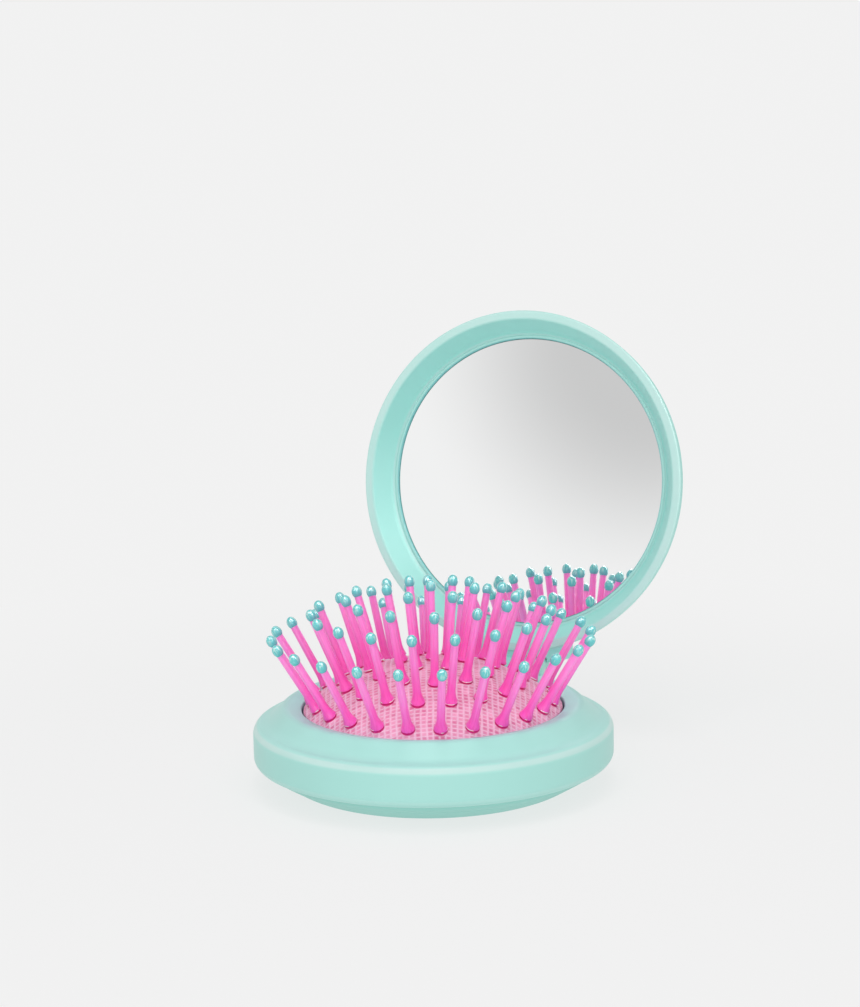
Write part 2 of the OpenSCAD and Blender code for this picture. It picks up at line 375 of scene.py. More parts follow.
hinge = {"y": 39.73, "z": 14.13, "open": 99.8}  # the hinge axis in millimetres and the open lid's turn in degrees
pinTones = {
    "root": tone(254, 101, 197), "top": tone(250, 143, 212), "from": 0.8, "to": 12.0,
    "line": (0.93, 0.78, 0.88, 1), "fineness": (2.6, 2.6, 0.09), "low": 0.36, "high": 0.56,
    # the foot's crimson is painted shade in the crevice under the flare, and the pale lip at the flare's lower edge, on
    # some pins, is a painted highlight
    "foot": tone(226, 52, 136), "footShadeAt": (0.34, 0.42),
    "lip": tone(255, 248, 250), "lipGlintAt": (0.38, 0.43), "lipGlintEnd": (0.56, 0.68), "glintPatches": 0.55, "share": (0.555, 0.585),
}
tipTones = {
    # the streak tone is the pale colour of painted highlights on the balls
    "ball": tone(95, 200, 201), "paintedGlint": tone(180, 226, 222), "from": 14.3, "to": 15.9,
    "fineness": (2.3, 2.3, 0.12), "low": 0.5, "high": 0.62,
}


def drawnAlong(tree, t):
    # a piece's own upright coordinates, the lines drawn along it, and how far up it a point lies
    own = put(tree, "Attribute", attribute_name="ownPlace").outputs["Vector"]
    lines = put(tree, "Group", {"Vector": own, "Fineness": t["fineness"], "Low": t["low"], "High": t["high"]},
                node_tree=drawnLines).outputs
    return own, lines["Mask"], lines["Along"]


def alongPin(tree, colour):
    # deeper where the root is thick, paler where the shaft thins, with fine lines drawn out along the pin; the crimson
    # painted shade at the foot has a pale painted highlight, a lip, here and there
    t = pinTones
    own, lines, along = drawnAlong(tree, t)
    rise = ramp(tree, along, t["from"], t["to"], smooth=True)
    shade = mixColour(tree, lines, t["line"], grey(1))
    shaft = mixColour(tree, 1.0, mixColour(tree, rise, t["root"], colour), shade, "MULTIPLY")
    chosen = ramp(tree, noise(tree, own, t["glintPatches"], 1.0), *t["share"])
    band = calc(tree, "MULTIPLY", ramp(tree, along, *t["lipGlintAt"]), ramp(tree, along, *t["lipGlintEnd"], 1.0, 0.0))
    lip = calc(tree, "MULTIPLY", band, chosen)
    return mixColour(tree, lip, mixColour(tree, ramp(tree, along, *t["footShadeAt"]), t["foot"], shaft), t["lip"])


def alongTip(tree, colour):
    # painted highlights: pale streaks run up the upper half of the ball
    t = tipTones
    lines, along = drawnAlong(tree, t)[1:]
    mask = calc(tree, "MULTIPLY", lines, ramp(tree, along, t["from"], t["to"], smooth=True))
    return mixColour(tree, mask, colour, t["paintedGlint"])


# one line of painted light, laid round a turned rim: a painted highlight where its tone is pale, painted shade where
# dark
def paintedLight(radius, level, width, height, strength, colour, axisY=0.0):
    return {"Axis Y": axisY, "Radius": radius, "Level": level, "Width": width, "Height": height,
            "Strength": strength, "tone": colour}


# the lid's lines of painted highlight and painted shade are drawn on it closed, measured from the hinge axis
closedLid = {"Location": (0, hinge["y"] * mm, hinge["z"] * mm), "Rotation": (-math.radians(hinge["open"]), 0, 0)}
# painted light on the ring: a painted highlight along the ridge, a fainter painted highlight on the wall's lower edge,
# and a band painted paler round the opening
ringPaintedLights = [
    paintedLight(35.6, 12.3, 0.65, 0.65, 0.55, tone(207, 224, 221)),  # the ridge
    paintedLight(35.85, 6.0, 0.3, 0.4, 0.3, tone(190, 226, 220)),  # the wall's lower edge
    paintedLight(27.4, 16.3, 2.0, 1.5, 0.65, tone(174, 240, 230)),  # the collar round the opening
]
# painted light on the lid: a painted highlight on the rim's front and on the bead round the mirror, and painted shade
# in a dark line inside the bead
lidPaintedLights = [
    paintedLight(35.2, 13.4 - hinge["z"], 1.05, 0.7, 1.0, tone(190, 227, 221), -hinge["y"]),  # the rim's front
    paintedLight(30.95, 18.0 - hinge["z"], 0.6, 0.6, 0.65, tone(184, 222, 217), -hinge["y"]),  # the bead round the mirror
    paintedLight(30.26, 18.4 - hinge["z"], 0.33, 0.7, 1.0, tone(118, 192, 190), -hinge["y"]),  # the dark line inside it
]
finishes = {
    "satinMint": dict(colour=tone(165, 218, 210), gloss=0.36, depth=0.003, rubs=ringPaintedLights, IOR=1.4),
    "satinMintLid": dict(
        colour=tone(154, 223, 213), gloss=0.36, depth=0.003, rubs=lidPaintedLights, turned=closedLid, IOR=1.36),
    # the skirt's tone, darker than the ring's mint, is painted shade on the underside; the base retainer takes it too
    "softSkirt": dict(colour=tone(147, 207, 197), gloss=0.5, cloud=0.06, depth=0.012, IOR=1.45),
    "innerMint": dict(colour=tone(160, 205, 199), gloss=0.42, depth=0.01, IOR=1.48),
    "pinPlastic": dict(
        colour=pinTones["top"], gloss=0.3, cloud=0.06, grain=1800.0, depth=0.004, tint=alongPin, IOR=1.5,
        Subsurface_Weight=0.6, Subsurface_Radius=(1.0, 0.35, 0.7), Subsurface_Scale=0.0018),
    "tipPlastic": dict(
        colour=tipTones["ball"], tint=alongTip, gloss=0.07, cloud=0.06, depth=0.001, glossShift=0.03, IOR=1.6,
        Coat_Weight=0.5, Coat_Roughness=0.04),
}
ringFinish, lidFinish, undersideShadeFinish, innerFinish, pinFinish, tipFinish = (
    moulded(name, **values) for name, values in finishes.items())


def makeSteel():
    # drawn wire: streaks along the wire, from noise stretched along X
    material, tree, shader = startMaterial("steelWire", Metallic=1.0)
    stretched = put(tree, "Mapping", {"Vector": objectPlace(tree), "Scale": (120.0, 5200.0, 5200.0)})
    streaks = noise(tree, stretched.outputs["Vector"], 1.0, 3.0)
    colour = mixColour(tree, streaks, tone(196, 198, 202), tone(222, 223, 226))
    dress(tree, shader, colour, ramp(tree, streaks, 0.0, 1.0, 0.22, 0.42))
    return material


def makeFoam():
    # closed-cell foam tape: small round cells
    material, tree, shader = startMaterial("foamTape", Roughness=0.9)
    cells = put(tree, "TexVoronoi", {"Vector": objectPlace(tree), "Scale": 2400.0}).outputs["Distance"]
    colour = mixColour(tree, cells, tone(225, 226, 224), tone(243, 243, 240))
    dress(tree, shader, colour, bump=put(tree, "Bump", {"Height": cells, "Distance": 0.05 * mm}))
    return material


def makeMirror():
    # silvered glass: clear reflection, with a faint uneven haze
    material, tree, shader = startMaterial("silveredGlass", Metallic=1.0)
    haze = noise(tree, objectPlace(tree), 70.0, 4.0)
    colour = mixColour(tree, haze, tone(253, 254, 254), tone(255, 255, 255))
    dress(tree, shader, colour, ramp(tree, haze, 0.35, 0.75, 0.012, 0.03))
    return material


steelFinish, foamFinish, mirrorFinish = makeSteel(), makeFoam(), makeMirror()
print("finishes made")

# millimetres and degrees, here and for every piece below
ringShape = {
    "radius": 36.0, "bottom": 4.85, "ridge": 13.2, "wall": 2.0, "bottomRound": 1.9, "shoulder": 2.0,
    "hollow": 4.0, "flank": 43.0, "flankWall": 1.7, "top": 13.3, "crest": 29.1, "crestRound": 1.8,
    "opening": 26.25, "lip": 0.35, "edge": 15.93, "ledge": 14.2, "around": 360,
    "rib": (31.2, 32.2, 8.0),  # the inner rib's two radii and its lower end
}


def ringSection(s):
    # (r, z) of the wall, the ridge's arc, the hollow's arc that touches it and the flank, the flank's line, the arcs
    # of the crest and the lip, and back along the inner walls
    slope, top = np.radians(s["flank"]), np.radians(s["top"])
    r, b, ledge, inner = s["radius"], s["bottomRound"], s["ledge"], s["radius"] - s["wall"]
    shoulder = np.array([r - s["shoulder"], s["ridge"] - s["shoulder"]])
    lip = np.array([s["opening"] + s["lip"], s["edge"] + s["lip"] * (np.tan(top) - 1 / np.cos(top))])
    crestLevel = lip[1] + (s["crest"] - lip[0]) * np.tan(top) - (s["crestRound"] - s["lip"]) / np.cos(top)
    crest = np.array([s["crest"], crestLevel])
    down, up = np.array([np.cos(slope), -np.sin(slope)]), np.array([np.sin(slope), np.cos(slope)])
    gap = crest + (s["crestRound"] + s["hollow"]) * up - shoulder
    along = gap @ down + np.sqrt((gap @ down) ** 2 - gap @ gap + (s["shoulder"] + s["hollow"]) ** 2)
    hollow = shoulder + gap - down * along
    turn = np.degrees(np.arctan2(*(hollow - shoulder)[::-1]))

    def under(r):
        # the flank's inner side, never above the ledge
        above = (s["crestRound"] - s["flankWall"]) / np.cos(slope)
        return min(ledge, crest[1] + above - (r - crest[0]) * np.tan(slope))

    ribIn, ribOut, ribEnd = s["rib"]
    return [
        arc([r - b, s["bottom"] + b], b, -90, 0, 18), line([r, s["bottom"] + b], [r, shoulder[1]], 8),
        arc(shoulder, s["shoulder"], 0, turn, 26), arc(hollow, s["hollow"], turn - 180, -90 - s["flank"], 12)[1:],
        line(hollow - s["hollow"] * up, crest + s["crestRound"] * up, 10),
        arc(crest, s["crestRound"], 90 - s["flank"], 90 + s["top"], 16), arc(lip, s["lip"], 90 + s["top"], 180, 8),
        [s["opening"], ledge + 0.1], [s["opening"] + 0.1, ledge], [30, ledge],
        [ribIn, under(ribIn)], [ribIn, ribEnd], [ribOut, ribEnd], [ribOut, under(ribOut)],
        [inner, under(inner)], [inner, s["bottom"] + 0.1], [inner + 0.1, s["bottom"]],
    ]


hingeShape = {
    **hinge, "knuckle": 2.5, "width": 16.0, "gap": 8.0, "middle": 7.2, "pin": 0.8,
    "bevel": 0.35, "boreRound": 0.15, "webInset": 0.25, "lugInset": 0.2, "webBevel": 0.2,
}


def barrel(s, low, high, bore):
    # a ring section (radius, x) turned about the hinge axis, its edges rounded by quarter circles
    r, b, c = s["knuckle"], s["bevel"], s["boreRound"]
    section = [
        arc([r - b, low + b], b, -90, 0, 6), arc([r - b, high - b], b, 0, 90, 6),
        arc([bore + c, high - c], c, 90, 180, 4), arc([bore + c, low + c], c, 180, 270, 4),
    ]
    points, faces = revolve(section, 64)
    return points[:, [2, 0, 1]] + [0, s["y"], s["z"]], faces


def makeRing():
    # the turned ring, and on each side of the hinge's middle a web (y, z) carried along X with a knuckle on its end
    h = hingeShape
    y, z, k = h["y"], h["z"], h["knuckle"]
    web = softCorners([
        [34.6, 8.4], [36.4, 8.0], [y + 1.4, 11.2], [y + k - 0.15, z], [y - k + 0.15, z], [37.0, 12.2], [34.6, 12.2]],
        [0.5, 1.0, 1.2, 0.5, 0.5, 0.5, 0.5])
    parts = [revolve(ringSection(ringShape), ringShape["around"])]
    for side in (-1, 1):
        low, high = sorted((side * h["gap"] / 2, side * h["width"] / 2))
        parts.append(slab(web, low + h["webInset"], high - h["webInset"], h["webBevel"]))
        parts.append(barrel(h, low, high, h["pin"]))
    makePiece("ringShell", parts, "base", ringFinish, ["ring_shell"])


makeRing()
print("base ring made")

footShape = {
    "radius": 24.4, "edge": 0.35, "plate": 2.1, "rebate": (23.0, 0.9),
    "skirtStart": 24.6, "skirtRound": 9.0, "skirtLevel": 9.1, "skirtSlope": 31.0, "skirtRadius": 31.4,
    "thickness": 1.3, "bead": (33.0, 7.0, 8.0),  # radius, underside and top of the bead that the ring holds
    "holder": 34.0, "coneEnd": 32.7, "coneLip": ((33.2, 4.12), (33.4, 4.45), (33.5, 4.75), (33.75, 5.0)),
}


def coneHeight(r):
    # the skirt's straight cone, z = 1.38 + (r - 28.84) tan slope
    return 1.38 + (r - 28.84) * np.tan(np.radians(footShape["skirtSlope"]))


def makeFoot():
    # sections (r, z) carried round Z: the plate; the skirt, an arc and the cone outside and steps inside; and the ring
    # that carries the cone on and holds the skirt's upper edge
    f = footShape
    e, (step, stepLevel), top = f["edge"], f["rebate"], f["plate"]
    plate = [[0, 0], [12, 0], [step, 0], arc([f["radius"] - e, e], e, -90, 0, 8), [f["radius"], stepLevel],
             [step, stepLevel], [step, top], [0, top]]
    makePiece("footPlate", [revolve(plate, 240)], "brush_head", ringFinish, ["foot_plate"])
    r, inner = f["skirtRadius"], f["skirtRadius"] - f["thickness"]
    bead, low, high = f["bead"]
    outer = arc([f["radius"] - 0.2, f["skirtLevel"]], f["skirtRound"], -87.5, -90 + f["skirtSlope"], 26)
    cone, rim = [r - 0.15, coneHeight(r - 0.15)], [r, coneHeight(r) + 0.12]
    skirt = [
        outer, line(outer[-1], cone, 12), cone, rim, line(rim, [r, low], 14), [r, low], [bead, low], [bead, high],
        [inner, high], line([inner, high], [inner, 4.5], 10), [inner, 4.5], [inner - 0.25, 4.0], [inner - 0.9, 3.4],
        line([inner - 0.9, 3.4], [27.2, 2.4], 5), [27.2, 2.4], line([27.2, 2.4], [25.2, top], 3), [25.2, top],
        [step, top], [step, stepLevel], [f["skirtStart"], stepLevel]]
    cup = makePiece("cupSkirt", [revolve(skirt, 300)], None, undersideShadeFinish, ["cup_skirt"])
    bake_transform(cup)
    start, end = [r + 0.15, coneHeight(r + 0.15)], [f["coneEnd"], coneHeight(f["coneEnd"])]
    holder = [[r, low], [r, coneHeight(r) + 0.15], start, line(start, end, 4), end, *f["coneLip"],
              [f["holder"], f["coneLip"][-1][1]], [f["holder"], low]]
    # the retainer takes the skirt's finish, whose darker tone is painted shade on the underside
    makePiece("baseRetainer", [revolve(holder, 300)], "base", undersideShadeFinish, ["base_retainer"])


makeFoot()
print("foot and skirt made")

cushionShape = {
    "sphere": 39.6, "crown": 25.2, "radius": 25.9, "net": 27.6, "turn": 24.7, "columns": 1.18, "rows": 1.0,
    "samples": 6, "relief": 0.11, "ribs": ((1.0, 2.2), (0.8, 2.6)),  # each direction's height and power
    "collar": (0.1, 1.5, 0.28), "dimple": (0.12, 1.1),  # height, radius and spread; depth and radius
    "plain": (1.55, 0.5), "rimFade": 0.3,  # the relief starts this far from a pin's root, and fades in over the next
    "wave": 0.07, "wall": 3.0, "skirting": 1.35, "underside": 11.7, "flattened": 0.1, "flatLevel": 17.1,
}
cushionTones = {
    "pit": (tone(220, 116, 160), tone(243, 170, 203)), "rib": tone(247, 210, 231),
    "ribs": ((2.6, 0.9), (2.8, 0.85)), "rough": (0.6, 0.42),
}
pinShape = {
    "count": [24, 18, 12, 6, 1], "root": [23.9, 18.0, 12.2, 6.1, 0.0], "lean": [31.7, 22.9, 18.1, 10.0, 0.0],
    "first": [-2.0, -94.5, -93.3, -96.0, 0.0], "length": 15.0, "around": 28, "stem": 0.9, "depth": 2.0,
    "washer": ((1.42, -0.25), (1.46, -0.05), (1.44, 0.04), (1.36, 0.08), (1.08, 0.09)),
    "undercut": ((1.08, 0.36), (1.3, 0.38)), "flare": 1.38, "flareStart": 0.6, "flareLength": 2.8, "fade": 2.1,
    "low": 0.83, "top": 0.75, "ball": (1.05, 1.32),
}


def domeHeight(rho, s=cushionShape):
    # the cushion's sphere, z = crown - R + sqrt(R^2 - rho^2)
    return s["crown"] - s["sphere"] + np.sqrt(s["sphere"] ** 2 - rho ** 2)


def rootPoints(k):
    # where ring k's pins stand on the dome, evenly spaced from the first one's angle
    turn = np.radians(pinShape["first"][k] + 360 * np.arange(pinShape["count"][k]) / pinShape["count"][k])
    r = pinShape["root"][k]
    return turn, np.stack([r * np.cos(turn), r * np.sin(turn), np.full(len(turn), domeHeight(r))], 1)


def makeCushionFinish():
    # the pad's fine waffle on its own UV map, one cell a unit: pale ribs ((1 + cos 2 pi u) / 2)^k along both
    # directions, the higher of the two, over darker pits
    material, tree, shader = startMaterial("waffleRubber", IOR=1.45)
    uv = put(tree, "UVMap", uv_map="pad").outputs["UV"]
    parts = put(tree, "SeparateXYZ", {0: uv}).outputs
    ribs = []
    for axis, (sharpness, strength) in zip("XY", cushionTones["ribs"]):
        wave = calc(tree, "COSINE", calc(tree, "MULTIPLY", parts[axis], 2 * math.pi))
        narrow = calc(tree, "POWER", calc(tree, "MULTIPLY_ADD", wave, 0.5, 0.5), sharpness)
        ribs.append(calc(tree, "MULTIPLY", narrow, strength))
    uneven = ramp(tree, noise(tree, uv, 2.1, 3.0, Roughness=0.7), 0.3, 0.7, 0.55, 1.2)
    mask = calc(tree, "MULTIPLY", calc(tree, "MAXIMUM", *ribs), uneven, use_clamp=True)
    cell = vectorCalc(tree, "FLOOR", {0: uv})
    chance = put(tree, "TexWhiteNoise", {"Vector": cell}, noise_dimensions="2D").outputs["Value"]
    colour = mixColour(tree, mask, mixColour(tree, chance, *cushionTones["pit"]), cushionTones["rib"])
    bump = put(tree, "Bump", {"Height": mask, "Distance": 0.05 * mm, "Strength": 0.7})
    dress(tree, shader, colour, ramp(tree, mask, 0.0, 1.0, *cushionTones["rough"]), bump)
    return material


def padNet(s):
    # a net (u, v) laid over the sphere, x = R sin(u a / R) and y = R sin(v b / R), bent a little by slow waves and
    # turned about Z; what lies past the rim is brought back to it along its own radius
    sphere = s["sphere"]
    reach = sphere * math.asin(s["net"] / sphere)
    half = [round(reach / s[k]) * s["samples"] for k in ("columns", "rows")]
    u, v = np.meshgrid(*(np.arange(-n, n + 1) / s["samples"] for n in half), indexing="ij")
    x, y = sphere * np.sin(u * s["columns"] / sphere), sphere * np.sin(v * s["rows"] / sphere)
    x = x + s["wave"] * np.sin(y * 0.62 + 1.7 * np.sin(x / 9)) * (1 - (x / 30) ** 2)
    y = y + 0.7 * s["wave"] * np.sin(x * 0.5 + 1.1 * np.sin(y / 7))
    rho = np.hypot(x, y)
    inside = np.minimum(rho, s["radius"])
    scale = inside / np.maximum(rho, 1e-9)
    x, y = x * scale, y * scale
    turn = math.radians(s["turn"])
    x, y = x * math.cos(turn) - y * math.sin(turn), x * math.sin(turn) + y * math.cos(turn)
    return u, v, rho, np.stack([x, y, domeHeight(inside)], 2).reshape(-1, 3)


def liftPad(s, u, v, rho, points):
    # along the sphere's normal, ribs h ((1 + cos 2 pi u) / 2)^k in u and v, the higher of the two, and round each pin,
    # at d from its root, a collar h e^-((d - r) / w)^2 and a dimple h e^-(d / r)^4; past the rim z falls by
    # wall (rho - radius)
    rib = np.maximum(*(
        high * (0.5 + 0.5 * np.cos(2 * np.pi * w)) ** power for w, (high, power) in zip((u, v), s["ribs"])))
    roots = np.concatenate([rootPoints(k)[1] for k in range(len(pinShape["count"]))])
    away = np.min(np.linalg.norm(points[:, None] - roots[None], axis=2), axis=1).reshape(rho.shape)
    start, over = s["plain"]
    toRim = s["radius"] - np.minimum(rho, s["radius"])
    calm = np.clip((away - start) / over, 0, 1) * np.clip(toRim / s["rimFade"], 0, 1)
    (height, middle, spread), (depth, reach) = s["collar"], s["dimple"]
    collar = height * np.exp(-((away - middle) / spread) ** 2) - depth * np.exp(-(away / reach) ** 4)
    lift = -s["relief"] * (1 - rib) * calm + collar
    normal = points - [0, 0, s["crown"] - s["sphere"]]
    normal /= np.linalg.norm(normal, axis=1, keepdims=True)
    points = points + normal * lift.reshape(-1, 1)
    points[:, 2] -= np.clip(rho - s["radius"], 0, None).ravel() * s["wall"]
    return points


def closePad(s, u, v, rho, points):
    # the net cut a little past the rim, with a fan from its open edges to one point under the crown
    keepPoint = (rho < s["radius"] + s["skirting"]).ravel()
    faces = gridFaces(*rho.shape)
    faces = faces[keepPoint[faces].all(1)]
    used = np.unique(faces)
    renumber = np.zeros(len(points), int)
    renumber[used] = np.arange(len(used))
    points, faces = points[used], renumber[faces]
    uv = np.stack([u.ravel()[used], v.ravel()[used]], 1)
    a, b = faces.ravel(), np.roll(faces, -1, 1).ravel()
    edge = ~np.isin(a.astype(np.int64) * len(points) + b, b.astype(np.int64) * len(points) + a)
    fan = np.stack([b[edge], a[edge], np.full(edge.sum(), len(points))], 1)
    return np.concatenate([points, [[0, 0, s["underside"]]]]), [faces, fan], np.concatenate([uv, [[0, 0]]])


def makeCushion(s):
    u, v, rho, points = padNet(s)
    points, faces, uv = closePad(s, u, v, rho, liftPad(s, u, v, rho, points))
    cushion = makePiece(
        "cushionPad", [(points, faces)], "brush_head", makeCushionFinish(), ["cushion"], sharp=60)
    layer = cushion.data.uv_layers.new(name="pad")
    corner = np.zeros(len(cushion.data.loops), np.int32)
    cushion.data.loops.foreach_get("vertex_index", corner)
    layer.data.foreach_set("uv", uv[corner].astype(np.float32).ravel())
    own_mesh(cushion)


makeCushion(cushionShape)
print("cushion made")


def pinSection(s):
    # (r, along) of the stem, washer, undercut, the flare low + (flare - low) (1 - t)^fade and the tapering shaft
    seat = s["length"] - s["ball"][1] * math.sqrt(1 - (s["top"] / s["ball"][0]) ** 2)
    end = s["flareStart"] + s["flareLength"]
    t = np.linspace(0, 1, 9)
    radius = s["low"] + (s["flare"] - s["low"]) * (1 - t) ** s["fade"]
    flare = np.stack([radius, s["flareStart"] + s["flareLength"] * t], 1)
    at = np.linspace(end, seat, 8)
    shaft = np.stack([s["low"] + (s["top"] - s["low"]) * (at - end) / (seat - end), at], 1)
    return [
        [0, -s["depth"]], [s["stem"], -s["depth"]], [s["stem"], -0.3], *s["washer"], *s["undercut"],
        [s["flare"] + 0.01, 0.46], flare, shaft[1:], [0.5, seat + 0.3], [0, seat + 0.3]]


def ballSection(s):
    # an ellipsoid (a cos t, length + b sin t) with a flat seat where the shaft enters
    start = -math.degrees(math.acos(s["top"] / s["ball"][0]))
    a = np.radians(np.linspace(start, 90, 16))
    body = np.stack([s["ball"][0] * np.cos(a), s["length"] + s["ball"][1] * np.sin(a)], 1)
    body[-1, 0] = 0
    return [[0, body[0, 1] - 0.02], body]


def standPins(section, k, chosen=None):
    # the turned section stood on each root: leaned about Y by the lean, then turned about Z to the root's place;
    # every pin also keeps its own upright coordinates, 11 mm apart
    points, faces = revolve(section, pinShape["around"])
    turn, roots = rootPoints(k)
    order = np.arange(len(turn))
    if chosen is not None:
        turn, roots, order = turn[chosen:chosen + 1], roots[chosen:chosen + 1], order[chosen:chosen + 1]
    lean = math.radians(pinShape["lean"][k])
    out = points[:, 0] * math.cos(lean) + points[:, 2] * math.sin(lean)
    up = -points[:, 0] * math.sin(lean) + points[:, 2] * math.cos(lean)
    c, s = np.cos(turn)[:, None], np.sin(turn)[:, None]
    placed = np.stack([out * c - points[:, 1] * s, out * s + points[:, 1] * c, up + 0 * c], 2) + roots[:, None]
    own = points[None] + (order[:, None] * [11.0, 0, 0])[:, None]
    step = len(points) * np.arange(len(turn))[:, None, None]
    return placed.reshape(-1, 3), [(f[None] + step).reshape(-1, f.shape[1]) for f in faces], own.reshape(-1, 3)


def makePinPiece(name, section, finish, k, node, chosen=None):
    points, faces, own = standPins(section, k, chosen)
    piece = makePiece(name, [(points, faces)], "brush_head", finish, [node])
    places = piece.data.attributes.new("ownPlace", "FLOAT_VECTOR", "POINT")
    places.data.foreach_set("vector", own.astype(np.float32).ravel())
    return piece


def makePins():
    # each pin and tip of the outer ring is a piece of its own; each ring inside it, and the centre, is one piece
    kinds = (("pin", pinSection(pinShape), pinFinish), ("tip", ballSection(pinShape), tipFinish))
    turn, rimRoots = rootPoints(0)
    for i in range(len(turn)):
        for kind, section, finish in kinds:
            piece = makePinPiece(f"{kind}Rim{i + 1:02d}", section, finish, 0, f"{kind}s_ring_1", i)
            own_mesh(piece)
    for k in range(1, len(pinShape["count"])):
        for kind, section, finish in kinds:
            name, node = kind + "Centre", kind + "_centre"
            if pinShape["count"][k] > 1:
                name, node = f"{kind}sRing{k + 1}", f"{kind}s_ring_{k + 1}"
            piece = makePinPiece(name, section, finish, k, node)
            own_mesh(piece)


makePins()
print("pins and tips made")

lidShape = {
    "radius": 36.0, "rim": 13.3, "edge": 0.4, "belt": (0.5, 3.0), "shoulder": (5.0, 4.9, 3.5), "coverSeat": (31.5, 8.3),
    "mirrorDepth": 5.2, "mirror": 30.15, "play": 0.08, "glass": 1.3, "seat": 0.55, "hole": 28.8,
    "groove": 30.24, "bead": 0.42, "wallTilt": 31.5, "wallFoot": 31.7, "wallEnd": (34.55, 0.6), "around": 360,
    "coverEdge": ((31.35, 8.05), (31.28, 8.17), (31.15, 8.2)), "crown": 1.2,
    "flange": (13.0, 38.8), "flangeInside": (34.6, 21.5), "flangeThick": 3.2, "flangeRound": 1.5,
    "scoop": (3.6, 8.4, 3.0),  # from and to either side of the middle, and its radius about the hinge
    "heel": ((1.6, 1.2), (-1.6, 1.2), (-3.54, -2.9), (-3.54, -4.5), (-2.5, -4.8), (1.2, -2.0)),
}


def openLid(part):
    # drawn closed, then turned about the hinge axis to the open lid
    points, faces = part
    a = -math.radians(hingeShape["open"])
    y, z = points[:, 1] - hingeShape["y"], points[:, 2] - hingeShape["z"]
    turnedY = hingeShape["y"] + y * math.cos(a) - z * math.sin(a)
    turnedZ = hingeShape["z"] + y * math.sin(a) + z * math.cos(a)
    return np.stack([points[:, 0], turnedY, turnedZ], 1), faces


def flangeOutline(s):
    # the flange's outer edge is an arc about the lid's axis with rounded ends, with close pairs of points at the sides
    # of its scoops; its inner side lies inside the rim
    (half, out), b = s["flange"], s["flangeRound"]
    endAt = math.sqrt((out - b) ** 2 - (half - b) ** 2)
    reach = math.degrees(math.asin((half - b) / (out - b)))
    sides = np.array([
        side * (edge + nudge) for side in (-1, 1) for edge in s["scoop"][:2] for nudge in (-0.01, 0.01)])
    even = np.linspace(90 - reach, 90 + reach, 40)
    turns = np.radians(np.sort(np.concatenate([even, np.degrees(np.arccos(sides / out))])))
    outer = out * np.stack([np.cos(turns), np.sin(turns)], 1)
    left = arc([-(half - b), endAt], b, 90 + reach, 180, 8)[1:]
    right = arc([half - b, endAt], b, 0, 90 - reach, 8)[:-1]
    inside, spread = s["flangeInside"]
    inner = arc([0, 0], inside, 90 + spread, 90 - spread, 24)
    return np.concatenate([outer, left, inner, right])


def makeFlange(s, h):
    # over each outer knuckle the plate's edge is drawn in to a cylinder round the hinge axis:
    # y = hinge y - sqrt(r^2 - (z - hinge z)^2)
    outline, (low, high, radius) = flangeOutline(s), s["scoop"]
    bottom = s["rim"] + 0.35
    points, faces = slab(outline, bottom, bottom + s["flangeThick"], 0.3, order=(1, 2, 0), between=12)
    x, y = np.abs(outline[:, 0]), outline[:, 1]
    over = np.tile((x > low) & (x < high) & (y > s["radius"]), len(points) // len(outline))
    reach = h["y"] - np.sqrt(np.clip(radius ** 2 - (points[:, 2] - h["z"]) ** 2, 0, None))
    points[over, 1] = np.minimum(points[over, 1], reach[over])
    return points, faces


def lidSection(s, mirrorLevel, ledge, back):
    # (r, z) of the closed lid, from the rim's front over its outside to the cover's seat, the glass's pocket, the bead
    # round the mirror, an arc, and the sloped inner wall, a line that ends in the rim's arc
    r, rim, edge, hole, pocket = s["radius"], s["rim"], s["edge"], s["hole"], s["mirror"] + s["play"]
    (inwards, up, curve), (end, wallRound), (seat, top) = s["shoulder"], s["wallEnd"], s["coverSeat"]
    outside = arc([r - inwards, rim + up], curve, 21, 81, 20)
    wallTop = arc([end, rim + wallRound], wallRound, 180 + s["wallTilt"], 270, 12)
    wallFoot, belt = [s["wallFoot"], mirrorLevel - 1.1], [r - s["belt"][0], rim + s["belt"][1]]
    return [
        arc([r - edge, rim + edge], edge, -90, 4, 10), line([r, rim + 0.5], belt, 6), belt, line(belt, outside[0], 6),
        outside, [seat, rim + top], [seat, back], [hole, back], [hole, ledge], [pocket, ledge],
        [pocket, mirrorLevel + 0.25], [s["groove"], mirrorLevel + 0.2],
        arc([s["groove"] + s["bead"], mirrorLevel - 0.25], s["bead"], 180, 325, 18),
        wallFoot, line(wallFoot, wallTop[0], 14), wallTop, line([34.6, rim], [r - 0.45, rim], 6)]


